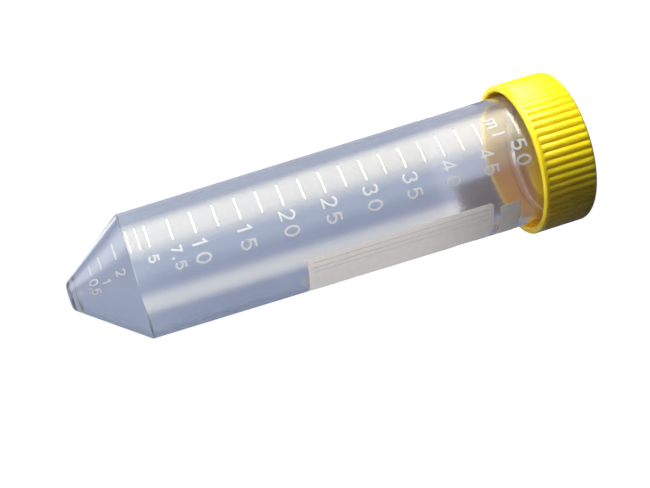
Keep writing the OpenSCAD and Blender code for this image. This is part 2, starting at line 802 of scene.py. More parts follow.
@dataclass(frozen=True)
class RestPose:
    """How the closed tube stands: upside down, with the flat top of its cap on the floor."""

    tip_height: float

    @classmethod
    def from_frame(cls) -> "RestPose":
        """Finds the height of the tube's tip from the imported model."""
        _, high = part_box(Solid.TUBE.value)
        return cls(high.z)

    def stand(self, piece: Object) -> None:
        """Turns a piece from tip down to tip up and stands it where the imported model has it.

        Args:
            piece: The piece. Its place is left in its mesh.
        """
        lift = Matrix.Translation((0.0, 0.0, self.tip_height))
        piece.matrix_world = lift @ Matrix.Rotation(math.pi, 4, "X")
        apply_place(piece)


# ---------------------------------------------------------------------------
# Tube
# ---------------------------------------------------------------------------


@dataclass
class TubeBody:
    """The clear tube: blunt cone, slightly tapered body, straight neck and its thread.

    The bore just above the cone is known by its volume so far, its height, its radius and
    how much the radius grows with height, in millilitres and millimetres. Edges look sharp
    where faces meet at more than the crease, in degrees.
    """

    length: float = 113.4 * MM
    neck_radius: float = 14.9 * MM
    neck_start: float = 102.0 * MM
    draft: float = 0.67
    wall: float = 1.2 * MM
    cone_length: float = 14.2 * MM
    tip_radius: float = 2.9 * MM
    bottom: float = 2.2 * MM
    tip_round: float = 1.6 * MM
    bottom_round_share: float = 0.6
    shoulder_round: float = 0.5 * MM
    mouth_round: float = 0.35 * MM
    bore_volume: float = 2.64
    bore_height: float = 14.157
    bore_radius: float = 12.67
    bore_growth: float = 0.01175
    segments: int = 192
    plain_piece: float = 5 * MM
    thread_piece: float = 0.18 * MM
    thread_zone: tuple[float, float] = (104.0 * MM, 112.2 * MM)
    thread: Thread = Thread(start=105.2 * MM, turns=1.55)
    crease: float = 32.0
    finish: ClearFinish = ClearFinish()

    @property
    def shoulder_radius(self) -> float:
        """Outer radius where the body meets the cone."""
        rise = self.neck_start - self.cone_length
        return self.neck_radius - math.tan(math.radians(self.draft)) * rise

    @property
    def mouth_radius(self) -> float:
        """Inner radius of the neck."""
        return self.neck_radius - self.wall

    def outer_radius(self, height: np.ndarray) -> np.ndarray:
        """Finds the outer radius at heights above the tip.

        Args:
            height: The heights.

        Returns:
            The radius at each height.
        """
        return np.interp(
            height,
            [0.0, self.cone_length, self.neck_start, self.length],
            [self.tip_radius, self.shoulder_radius, self.neck_radius, self.neck_radius],
        )

    def volume_height(self, millilitres: float) -> float:
        """Finds the height that a volume fills the tube to, above the cone.

        Args:
            millilitres: The volume.

        Returns:
            The height of the liquid above the tip.
        """
        base, slope = self.bore_radius, self.bore_growth
        filled = base**3 + 3 * slope * (millilitres - self.bore_volume) * MILLILITRE / math.pi
        return (self.bore_height + (filled ** (1 / 3) - base) / slope) * MM

    def section(self) -> list[Vector]:
        """Works out the wall's section, from the tip round to the inner bottom.

        Returns:
            The section's points.
        """
        angle = math.atan2(self.shoulder_radius - self.tip_radius, self.cone_length)
        cone_wall = self.wall / math.cos(angle)
        inner_shoulder = self.cone_length + (cone_wall - self.wall) / math.tan(angle)
        inner_tip = self.tip_radius + math.tan(angle) * self.bottom - cone_wall
        thread_low, thread_high = self.thread_zone
        outside = [
            Corner(0, 0),
            Corner(self.tip_radius, 0, self.tip_round),
            Corner(self.shoulder_radius, self.cone_length, self.shoulder_round),
            Corner(self.neck_radius, self.neck_start),
            Corner(self.neck_radius, thread_low),
        ]
        inside = [
            Corner(self.neck_radius, self.length, self.mouth_round),
            Corner(self.mouth_radius, self.length, self.mouth_round),
            Corner(self.mouth_radius, self.neck_start),
            Corner(self.shoulder_radius - self.wall, inner_shoulder, self.shoulder_round),
            Corner(inner_tip, self.bottom, inner_tip * self.bottom_round_share),
            Corner(0, self.bottom),
        ]
        return section_points(
            Stretch(outside, 10, self.plain_piece),
            Stretch([Corner(self.neck_radius, thread_high)], 1, self.thread_piece),
            Stretch(inside, 8, self.plain_piece),
        )

    def threaded_radius(
        self, radius: np.ndarray, angle: np.ndarray, height: np.ndarray
    ) -> np.ndarray:
        """Returns the radii with the thread raised on the neck's outer wall."""
        outside = radius > self.neck_radius - self.wall / 4
        return radius + np.where(outside, self.thread.height_at(angle, height), 0.0)

    def build(self) -> Object:
        """Spins the section round the axis and raises the thread on the neck.

        Returns:
            The tube with its tip down.
        """
        tube = draw_section("clear_tube", self.section())
        with editing(tube):
            spin(self.segments, FULL_TURN)
        close_shell(tube)
        move_radially(tube, self.threaded_radius)
        return tube

    def make(self, pose: RestPose, effects: SharedEffects) -> Object:
        """Builds, dresses and stands the tube.

        Args:
            pose: How the closed tube stands.
            effects: The shared node groups.

        Returns:
            The finished tube.
        """
        tube = self.build()
        tube.data.materials.append(self.finish.make(effects))
        smooth(tube, self.crease)
        pose.stand(tube)
        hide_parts(Solid.TUBE.value)
        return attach(tube, Body.TUBE.value)


# ---------------------------------------------------------------------------
# Cap
# ---------------------------------------------------------------------------


@dataclass
class ScrewCap:
    """The yellow cap: ribbed skirt, flat top, inner thread and plug ring.

    The ribs fade in above the smooth band over their run-out, where the section is cut
    finely. So it is in the thread's zone, which ends short of the rim and of the seat. Two
    distances from the skirt's inner wall tell the walls apart: the ribs shape what lies
    beyond the one, and the thread what lies within the other.
    """

    seat: float = 113.4 * MM
    top: float = 1.6 * MM
    height: float = 12.6 * MM
    radius: float = 17.45 * MM
    skirt_inner: float = 15.95 * MM
    edge_round: float = 1.25 * MM
    rim_round: float = 0.4 * MM
    rim_chamfer: float = 0.3 * MM
    band: float = 0.9 * MM
    ribs: int = 60
    rib_round: float = 1.05 * MM
    rib_depth: float = 0.4 * MM
    rib_run_out: float = 0.35 * MM
    run_out_zone: float = 0.4 * MM
    ribs_beyond: float = 0.5 * MM
    thread_within: float = 0.05 * MM
    thread_above_rim: float = 2 * MM
    thread_below_seat: float = 0.6 * MM
    plug_radius: float = 13.58 * MM
    plug_wall: float = 1.0 * MM
    plug_depth: float = 3.6 * MM
    plug_lead: float = 0.5 * MM
    plug_lead_round: float = 0.3 * MM
    plug_end_round: float = 0.12 * MM
    plug_root_round: float = 0.2 * MM
    seat_round: float = 0.35 * MM
    steps_per_rib: int = 12
    thread: Thread = Thread(start=107.0 * MM, turns=1.2, first_angle=0.6)
    crease: float = 38.0
    finish: CapFinish = CapFinish()

    @property
    def top_height(self) -> float:
        """Height of the flat top above the tube's tip."""
        return self.seat + self.top

    @property
    def rim_height(self) -> float:
        """Height of the skirt's rim above the tube's tip."""
        return self.top_height - self.height

    @property
    def rib_start(self) -> float:
        """Height where the ribs begin, above the smooth band."""
        return self.rim_height + self.band

    def section(self) -> list[Vector]:
        """Works out the cap's section, from its top round to its underside.

        Returns:
            The section's points.
        """
        inner, rim, plug = self.skirt_inner, self.rim_height, self.plug_radius
        plug_inner, plug_end = plug - self.plug_wall, self.seat - self.plug_depth
        top = [
            Corner(0, self.top_height),
            Corner(self.radius, self.top_height, self.edge_round),
            Corner(self.radius, self.rib_start + self.run_out_zone),
        ]
        skirt = [
            Corner(self.radius, rim, self.rim_round),
            Corner(inner + self.rim_chamfer, rim),
            Corner(inner, rim + self.rim_chamfer),
            Corner(inner, rim + self.thread_above_rim),
        ]
        underside = [
            Corner(inner, self.seat, self.seat_round),
            Corner(plug, self.seat, self.plug_root_round),
            Corner(plug, plug_end + 2 * self.plug_lead, self.plug_lead_round),
            Corner(plug - self.plug_lead, plug_end, self.plug_end_round),
            Corner(plug_inner, plug_end, self.plug_end_round),
            Corner(plug_inner, self.seat, self.seat_round),
            Corner(0, self.seat),
        ]
        return section_points(
            Stretch(top, 14, 1.1 * MM),
            Stretch([Corner(self.radius, self.rib_start)], 1, 0.07 * MM),
            Stretch(skirt, 6, 1.0 * MM),
            Stretch([Corner(inner, self.seat - self.thread_below_seat)], 1, 0.22 * MM),
            Stretch(underside, 5, 2.5 * MM),
        )

    def rib_radius(self, angle: np.ndarray) -> np.ndarray:
        """Finds the radius of the ribbed outline.

        Args:
            angle: Angles round the axis, in radians.

        Returns:
            The outline's radius at each angle.
        """
        pitch = FULL_TURN / self.ribs
        off = (angle + pitch / 2) % pitch - pitch / 2
        reach = self.radius - self.rib_round
        inside = np.maximum(self.rib_round**2 - (reach * np.sin(off)) ** 2, 0.0)
        return np.maximum(reach * np.cos(off) + np.sqrt(inside), self.radius - self.rib_depth)

    def ribbed_radius(
        self, radius: np.ndarray, angle: np.ndarray, height: np.ndarray
    ) -> np.ndarray:
        """Moves the skirt's outer wall in to the ribbed outline, above the band.

        Args:
            radius: Radii of the plain moulding.
            angle: Angles round the axis.
            height: Heights above the tube's tip.

        Returns:
            The radii with the ribs.
        """
        outer = radius > self.skirt_inner + self.ribs_beyond
        ribbed = ease((height - self.rib_start) / self.rib_run_out)
        outline = self.radius + (self.rib_radius(angle) - self.radius) * ribbed
        return np.where(outer, np.minimum(radius, outline), radius)

    def threaded_radius(
        self, radius: np.ndarray, angle: np.ndarray, height: np.ndarray
    ) -> np.ndarray:
        """Returns the radii with the cap's thread, between the turns of the neck's thread."""
        on_wall = np.abs(radius - self.skirt_inner) < self.thread_within
        return radius - np.where(on_wall, self.thread.height_at(angle, height), 0.0)

    def build(self) -> Object:
        """Makes one rib's share of the cap, repeats it round the axis and cuts the thread.

        Returns:
            The cap with its rim down.
        """
        cap = draw_section("screw_cap_shell", self.section())
        with editing(cap):
            spin(self.steps_per_rib, FULL_TURN / self.ribs)
            spin(self.ribs, FULL_TURN, copies=True)
        close_shell(cap)
        move_radially(cap, self.ribbed_radius)
        move_radially(cap, self.threaded_radius)
        return cap

    def make(self, pose: RestPose, effects: SharedEffects) -> Object:
        """Builds, dresses and stands the cap.

        Args:
            pose: How the closed tube stands.
            effects: The shared node groups.

        Returns:
            The finished cap.
        """
        cap = self.build()
        cap.data.materials.append(self.finish.make(effects))
        smooth(cap, self.crease)
        pose.stand(cap)
        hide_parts(Solid.CAP.value)
        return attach(cap, Body.CAP.value)


# ---------------------------------------------------------------------------
# Numbers and letters
# ---------------------------------------------------------------------------


def bow(
    centre: tuple[float, float], size: tuple[float, float], start: float, end: float, pieces: int
) -> Stroke:
    """Draws part of an ellipse.

    Args:
        centre: Its middle.
        size: Its half width and half height.
        start: The angle that it starts at, in degrees.
        end: The angle that it ends at, in degrees.
        pieces: Straight pieces along it.

    Returns:
        The points along it.
    """
    points = []
    for k in range(pieces + 1):
        a = math.radians(start + (end - start) * k / pieces)
        points.append((centre[0] + size[0] * math.cos(a), centre[1] + size[1] * math.sin(a)))
    return points


def sign_strokes() -> dict[str, list[Stroke]]:
    """Lists the strokes of the scale's characters.

    Returns:
        The strokes of each character. Their points are shares of its height, with x from the
        middle and y from the foot.
    """
    humps = [
        [(x, 0.70), *bow((x + 0.20, 0.72), (0.20, 0.26), 170, 0, 10), (x + 0.40, 0.0)]
        for x in (-0.40, 0.0)
    ]
    return {
        "0": [bow((0, 0.5), (0.27, 0.5), 90, 450, 32)],
        "1": [[(-0.16, 0.80), (0.06, 1.0), (0.06, 0.0)]],
        "2": [
            [*bow((0, 0.72), (0.27, 0.28), 165, -32, 14), (0.10, 0.36), (-0.28, 0.0), (0.29, 0.0)]
        ],
        "3": [
            bow((-0.01, 0.75), (0.25, 0.25), 155, -62, 14)
            + bow((-0.01, 0.27), (0.28, 0.27), 62, -155, 16)
        ],
        "4": [[(0.31, 0.27), (-0.30, 0.27), (0.12, 1.0), (0.12, 0.0)]],
        "5": [
            [(0.24, 1.0), (-0.19, 1.0), (-0.23, 0.53)]
            + bow((-0.01, 0.32), (0.28, 0.32), 132, -148, 18)
        ],
        "7": [[(-0.28, 1.0), (0.27, 1.0), (-0.08, 0.0)]],
        ",": [[(0.03, 0.08), (0.02, -0.04), (-0.05, -0.16)]],
        "m": [[(-0.40, 0.0), (-0.40, 0.98)], *humps],
        "l": [[(0.0, 0.0), (0.0, 1.0)]],
    }


@dataclass
class SignMaker:
    """Plain upright numbers and letters of even stroke.

    Strokes lie one layer above the other. Two lengths are shares of a stroke's width: how
    far it runs on past its ends, and how near its ends are when it is a loop. At a corner
    its edges stand out by half its width over the cosine of half the turn, and the cosine
    counts as no less than the least one.
    """

    layer: float = 0.002 * MM
    run_on: float = 0.12
    loop_gap: float = 0.05
    least_cosine: float = 0.5
    signs: dict[str, list[Stroke]] = field(default_factory=sign_strokes)

    def draw(self, sign: str, tall: float, width: float) -> Object:
        """Draws a character as flat filled strokes about its middle.

        Args:
            sign: The character.
            tall: Its height.
            width: The width of its strokes.

        Returns:
            The flat character, centred on the origin.
        """
        made = []
        for level, stroke in enumerate(self.signs[sign]):
            drawn = self.draw_stroke(stroke, tall, width)
            drawn.location.z = level * self.layer
            made.append(drawn)
        select_only(*made)
        if len(made) > 1:
            bpy.ops.object.join()
        part = bpy.context.object
        part.name = f"sign_{ord(sign)}"
        return part

    def edges(self, line: Sequence[Vector], looped: bool, width: float) -> list[list[Vector]]:
        """Finds the two edges of a stroke.

        Args:
            line: The points of its middle line.
            looped: Whether its end meets its start.
            width: Its width.

        Returns:
            The left edge and the right edge, each with as many points as the line.
        """
        last = len(line) - 1
        left, right = [], []
        for i, point in enumerate(line):
            before = line[i - 1] if looped or i else point
            after = line[(i + 1) % len(line)] if looped or i < last else point
            onward = (after - point).normalized()
            into = (point - before).normalized() if before != point else onward
            onto = onward if after != point else into
            side = (into + onto).normalized().cross(Vector((0, 0, 1)))
            reach = width / 2 / max(self.least_cosine, math.cos(into.angle(onto) / 2))
            end = Vector((0, 0, 0))
            if not looped and i in (0, last):
                end = onto * (width * (self.run_on if i else -self.run_on))
            left.append(point + end + side * reach)
            right.append(point + end - side * reach)
        return [left, right]

    def draw_stroke(self, stroke: Stroke, tall: float, width: float) -> Object:
        """Draws one stroke as a strip of faces between its two edges.

        Args:
            stroke: The stroke's points, as shares of the height.
            tall: The character's height.
            width: The stroke's width.

        Returns:
            The flat stroke.
        """
        inner = tall - width
        line = [Vector((x * tall, y * inner - inner / 2, 0.0)) for x, y in stroke]
        looped = (line[0] - line[-1]).length < width * self.loop_gap
        if looped:
            line = line[:-1]
        bpy.ops.mesh.primitive_plane_add(size=1.0, location=(0, 0, 0))
        drawn = bpy.context.object
        mesh = bmesh.new()
        edges = self.edges(line, looped, width)
        left, right = ([mesh.verts.new(point) for point in edge] for edge in edges)
        for i in range(len(line) if looped else len(line) - 1):
            j = (i + 1) % len(line)
            mesh.faces.new((left[i], right[i], right[j], left[j]))
        mesh.normal_update()
        mesh.to_mesh(drawn.data)
        mesh.free()
        return drawn


SIGNS = SignMaker()


# ---------------------------------------------------------------------------
# Print
# ---------------------------------------------------------------------------


@dataclass
class PrintSheet:
    """A flat sheet that print is laid out on before it is wrapped round the tube.

    X is an angle round the tube times the sheet's radius, and Y is the height above the
    tip. Angles are counted from the middle of the unit's first letter. Print reads along X,
    with its top to the cap. The sheet's start turns the whole print round the tube. It is
    cut every few degrees so that it can bend. Ink stands a little proud of the wall and
    reaches a little into it.
    """

    tube: TubeBody
    radius: float = 14.4 * MM
    proud: float = 0.03 * MM
    sunk: float = 0.02 * MM
    bend_every: float = 2.0
    start: float = 54.08
    corner_pieces: int = 6
    line_rounding: float = 0.55
    crease: float = 40.0
    parts: list[Object] = field(default_factory=list)

    def across(self, degrees: float) -> float:
        """Returns the sheet's X for an angle round the tube in degrees."""
        return math.radians(degrees) * self.radius

    def widen(self, height: float) -> float:
        """Returns how much wider print is laid out at a height where the tube is thinner."""
        return self.radius / float(self.tube.outer_radius(np.array(height)))

    def settle(self, part: Object) -> None:
        """Applies a flat part's place and scale and keeps it on the sheet."""
        apply_place(part)
        self.parts.append(part)

    def add_patch(
        self, angles: tuple[float, float], heights: tuple[float, float], rounding: float
    ) -> Object:
        """Adds a filled patch with rounded corners.

        Args:
            angles: The angles of its two sides, in degrees.
            heights: The heights of its two ends.
            rounding: The radius of its corners.

        Returns:
            The flat patch.
        """
        left, right = (self.across(a) for a in angles)
        low, high = heights
        place = ((left + right) / 2, (low + high) / 2, 0.0)
        bpy.ops.mesh.primitive_plane_add(size=1.0, location=place)
        patch = bpy.context.object
        patch.scale = (right - left, high - low, 1.0)
        self.settle(patch)
        with editing(patch):
            bpy.ops.mesh.bevel(
                affect="VERTICES",
                offset=rounding,
                offset_type="OFFSET",
                segments=self.corner_pieces,
            )
        return patch

    def add_line(self, angles: tuple[float, float], height: float, line: Line) -> None:
        """Adds a line of the scale at a height, between two angles in degrees."""
        half = line.value / 2
        self.add_patch(angles, (height - half, height + half), half * self.line_rounding)

    def add_sign(self, sign: str, angle: float, height: float, tall: float, line: Line) -> None:
        """Adds one number or letter, centred at a place.

        Args:
            sign: The character.
            angle: The angle of its middle, in degrees.
            height: The height of its middle.
            tall: How tall it is.
            line: The width of its strokes.
        """
        part = SIGNS.draw(sign, tall, line.value)
        part.scale = (self.widen(height), 1.0, 1.0)
        part.location = (self.across(angle), height, 0.0)
        self.settle(part)

    def thicken(self, layer: Object) -> None:
        """Cuts flat print into strips that can bend and gives it the ink's thickness.

        Args:
            layer: The flat print.
        """
        step = self.across(self.bend_every)
        flat = points_of(layer)
        first = math.ceil(flat[:, 0].min() / step)
        last = math.floor(flat[:, 0].max() / step)
        with editing(layer):
            for k in range(first, last + 1):
                bpy.ops.mesh.select_all(action="SELECT")
                bpy.ops.mesh.bisect(plane_co=(k * step, 0, 0), plane_no=(1, 0, 0))
            bpy.ops.mesh.select_all(action="SELECT")
            bpy.ops.mesh.extrude_region_move(
                TRANSFORM_OT_translate={"value": (0, 0, self.proud + self.sunk)}
            )
            bpy.ops.mesh.select_all(action="SELECT")
            bpy.ops.mesh.normals_make_consistent(inside=False)

    def wrap(self, name: str) -> Object:
        """Joins the parts and wraps them round the tube.

        Args:
            name: The piece's name.

        Returns:
            The print as one piece on the wall of the tube, tip down.
        """
        select_only(*self.parts)
        bpy.ops.object.join()
        layer = bpy.context.object
        layer.name = layer.data.name = name
        self.thicken(layer)
        flat = points_of(layer)
        turned = flat[:, 0] / self.radius + math.radians(self.start)
        out = self.tube.outer_radius(flat[:, 1]) + flat[:, 2] - self.sunk
        wrapped = np.column_stack((out * np.cos(turned), out * np.sin(turned), flat[:, 1]))
        move_points(layer, wrapped)
        return layer

    def make(self, name: str, ink: Material, pose: RestPose) -> Object:
        """Wraps the print, dresses it and stands it with the tube.

        Args:
            name: The piece's name.
            ink: The ink's material.
            pose: How the closed tube stands.

        Returns:
            The finished piece of ink.
        """
        piece = self.wrap(name)
        piece.data.materials.clear()
        piece.data.materials.append(ink)
        smooth(piece, self.crease)
        pose.stand(piece)
        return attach(piece, Body.TUBE.value)


@dataclass(frozen=True)
class Mark:
    """A line of the scale, with the number beside it, whose middle may be shifted in height."""

    height: float
    angles: tuple[float, float]
    line: Line
    signs: str = ""
    sign_angles: tuple[float, ...] = ()
    sign_height: float = 3.4 * MM
    sign_shift: float = 0.0
    sign_line: Line = Line.BOLD


@dataclass
class Scale:
    """The printed scale: lines, numbers and the unit.

    The smallest volumes have marks of their own. Above them stands a line for each step in
    volume, but for the one that is left out, and a number for each second one. Volumes are
    in millilitres. The unit's letters have an angle, a height and a size.
    """

    tube: TubeBody
    body_angles: tuple[float, float] = (-5.1, 17.2)
    cone_angles: tuple[float, float] = (-3.5, 15.5)
    number_angles: tuple[float, float] = (25.7, 39.3)
    cone_sign: float = 2.0 * MM
    volume_step: float = 2.5
    steps: range = range(4, 21)
    left_out: float = 47.5
    full: float = 50.0
    full_shift: float = -1.0 * MM
    unit: tuple[tuple[str, float, float, float], ...] = (
        ("m", 0.0, 96.05 * MM, 2.7 * MM),
        ("l", 12.2, 96.5 * MM, 3.3 * MM),
    )
    finish: InkFinish = InkFinish()

    def cone_marks(self) -> list[Mark]:
        """Lists the marks on the cone, which has its own smaller numbers.

        Returns:
            The marks, with the first one above the cone.
        """
        thin, angles = Line.FAINT, self.cone_angles
        small = {"sign_height": self.cone_sign, "sign_line": thin}
        return [
            Mark(5.85 * MM, angles, thin, "0,5", (27.5, 35.5, 42.5), **small),
            Mark(8.15 * MM, angles, thin, "1", (33.0,), sign_shift=0.2 * MM, **small),
            Mark(11.6 * MM, angles, thin, "2", (29.5,), sign_shift=0.1 * MM, **small),
            Mark(self.tube.volume_height(3.0), self.body_angles, thin),
        ]

    def body_marks(self) -> list[Mark]:
        """Lists the marks on the body, up to the full volume.

        Returns:
            The marks.
        """
        high, angles, fine = self.tube.volume_height, self.body_angles, Line.FINE
        marks = [
            Mark(high(4.0), angles, Line.FAINT),
            Mark(high(5.0), angles, fine, "5", (27.7,), 2.3 * MM, sign_line=fine),
            Mark(high(7.5), angles, fine, "7,5", (25.5, 32.5, 39.5), 2.4 * MM, sign_line=fine),
        ]
        for step in self.steps:
            volume = self.volume_step * step
            if step % 2 == 0:
                shift = self.full_shift if volume == self.full else 0.0
                number = (str(int(volume)), self.number_angles)
                marks.append(Mark(high(volume), angles, Line.BOLD, *number, sign_shift=shift))
            elif volume != self.left_out:
                marks.append(Mark(high(volume), angles, fine))
        return marks

    def make(self, pose: RestPose, effects: SharedEffects) -> list[Object]:
        """Prints the lines, the numbers and the unit on the tube.

        Args:
            pose: How the closed tube stands.
            effects: The shared node groups.

        Returns:
            The pieces of ink.
        """
        ink = self.finish.make(effects)
        lines, numbers, unit = (PrintSheet(self.tube) for _ in range(3))
        for mark in self.cone_marks() + self.body_marks():
            lines.add_line(mark.angles, mark.height, mark.line)
            middle = mark.height + mark.sign_shift
            for sign, angle in zip(mark.signs, mark.sign_angles):
                numbers.add_sign(sign, angle, middle, mark.sign_height, mark.sign_line)
        for letter in self.unit:
            unit.add_sign(*letter, Line.FINE)
        sheets = {"scale_lines": lines, "scale_numbers": numbers, "unit_ml": unit}
        return [sheet.make(name, ink, pose) for name, sheet in sheets.items()]


@dataclass
class WritingPanel:
    """The white panel for notes, with three ruled lines, and the plain block beside it.

    The ruled lines are gaps in the ink that start and end short of the panel's ends. They
    are wider over their last stretch, at the cap's end.
    """

    tube: TubeBody
    angles: tuple[float, float] = (67.5, 154.5)
    heights: tuple[float, float] = (48.9 * MM, 91.3 * MM)
    corner: float = 0.9 * MM
    ruled: tuple[float, ...] = (73.0, 78.3, 83.2)
    rule_gap: float = 0.07 * MM
    end_gap: float = 0.15 * MM
    end_length: float = 3.4 * MM
    rule_margin: float = 1.2 * MM
    block_angles: tuple[float, float] = (73.2, 154.5)
    block_heights: tuple[float, float] = (92.8 * MM, 97.6 * MM)
    block_corner: float = 0.5 * MM
    finish: InkFinish = InkFinish(
        name="panel_ink", white=(0.865, 0.82, 0.80), thin=(0.79, 0.75, 0.735), gloss=0.15
    )

    def rule(self, sheet: PrintSheet, patch: Object) -> None:
        """Opens the ruled gaps in the flat panel.

        Args:
            sheet: The sheet that the panel lies on.
            patch: The flat panel.
        """
        low, high = self.heights[0] + self.rule_margin, self.heights[1] - self.rule_margin
        widening = high - self.end_length
        lines = [sheet.across(angle) for angle in self.ruled]
        cuts = [((0, y, 0), (0, 1, 0)) for y in (low, high, widening)]
        for x in lines:
            for gap in (-self.end_gap, -self.rule_gap, self.rule_gap, self.end_gap):
                cuts.append(((x + gap / 2, 0, 0), (1, 0, 0)))
        with editing(patch, "FACE"):
            for place, normal in cuts:
                bpy.ops.mesh.select_all(action="SELECT")
                bpy.ops.mesh.bisect(plane_co=place, plane_no=normal)
            bpy.ops.mesh.select_all(action="DESELECT")
            mesh = bmesh.from_edit_mesh(patch.data)
            for face in mesh.faces:
                middle = face.calc_center_median()
                half = (self.end_gap if middle.y > widening else self.rule_gap) / 2
                on_line = min(abs(middle.x - x) for x in lines) < half
                face.select = on_line and low < middle.y < high
            bmesh.update_edit_mesh(patch.data)
            bpy.ops.mesh.delete(type="FACE")

    def make(self, pose: RestPose, effects: SharedEffects) -> list[Object]:
        """Prints the panel and the block on the tube.

        Args:
            pose: How the closed tube stands.
            effects: The shared node groups.

        Returns:
            The pieces of ink.
        """
        ink = self.finish.make(effects)
        panel, block = PrintSheet(self.tube), PrintSheet(self.tube)
        self.rule(panel, panel.add_patch(self.angles, self.heights, self.corner))
        block.add_patch(self.block_angles, self.block_heights, self.block_corner)
        sheets = {"writing_panel": panel, "plain_block": block}
        return [sheet.make(name, ink, pose) for name, sheet in sheets.items()]


# ---------------------------------------------------------------------------
# Studio
# ---------------------------------------------------------------------------


# Casts of the soft boxes that light the bright bands, and of the one between them
WARM_WHITE: Colour = (1.0, 0.92, 0.68)
COOL_WHITE: Colour = (0.78, 0.95, 1.0)
NO_LIGHT: Colour = (0.0, 0.0, 0.0)


class Throw(Enum):
    """What a soft box lights."""

    SHEEN = "reflections"
    WASH = "dull surfaces"


@dataclass(frozen=True)
class Panel:
    """A soft box that stands round the tube, with light that fades to its two sides.

    Its middle is at an angle round the tube, its foot at a distance from the axis and a
    height above the floor, and its top leans away from the tube, or over it where the lean
    is below nothing. The light is full in the middle and fades over the feather to nothing
    at half the span, and never passes 180 degrees. Its spread says how wide each point of
    the box shines, and its cast is the light's colour. Angles are in degrees.
    """

    name: str
    throw: Throw
    angle: float
    span: float
    feather: float
    radiance: float
    foot: float = 105 * MM
    size: tuple[float, float] = (150 * MM, 150 * MM)
    low: float = 0.0
    lean: float = 0.0
    spread: float = 180.0
    cast: Colour = (1.0, 1.0, 1.0)

    def add(self) -> None:
        """Adds the soft box as an area light that is not itself seen."""
        turn, lean = math.radians(self.angle), math.radians(self.lean)
        wide, tall = self.size
        out = self.foot + tall / 2 * math.sin(lean)
        up = self.low + tall / 2 * math.cos(lean)
        bpy.ops.object.light_add(
            type="AREA",
            location=(out * math.cos(turn), out * math.sin(turn), up),
            rotation=(math.pi / 2 + lean, 0.0, turn + math.pi / 2),
        )
        light = bpy.context.object
        light.name = self.name
        light.data.shape = "RECTANGLE"
        light.data.size, light.data.size_y = wide, tall
        light.data.energy = self.radiance * math.pi * wide * tall
        light.data.spread = math.radians(self.spread)
        light.data.color = self.cast
        light.visible_camera = light.visible_transmission = False
        light.visible_diffuse = self.throw is Throw.WASH
        light.visible_glossy = self.throw is Throw.SHEEN
        self.fade(light.data)

    def fade(self, lamp: Light) -> None:
        """Fades the light by the angle round the tube's axis.

        Args:
            lamp: The soft box's light.
        """
        lamp.use_nodes = True
        light = Canvas(lamp.node_tree)
        place = light.node("ShaderNodeNewGeometry").outputs["Position"]
        parts = light.feed(light.node("ShaderNodeSeparateXYZ"), {0: place}).outputs
        around = light.math("ARCTAN2", parts["Y"], parts["X"])
        off = light.math("ABSOLUTE", light.math("SUBTRACT", around, math.radians(self.angle)))
        edge = math.radians(self.span / 2)
        full = edge - math.radians(self.feather)
        share = light.ramp(off, (edge, full), (0.0, 1.0), "SMOOTHSTEP")
        shine = light.feed(light.node("ShaderNodeEmission"), {"Strength": share}).outputs[0]
        light.feed(light.node("ShaderNodeOutputLight"), {"Surface": shine})


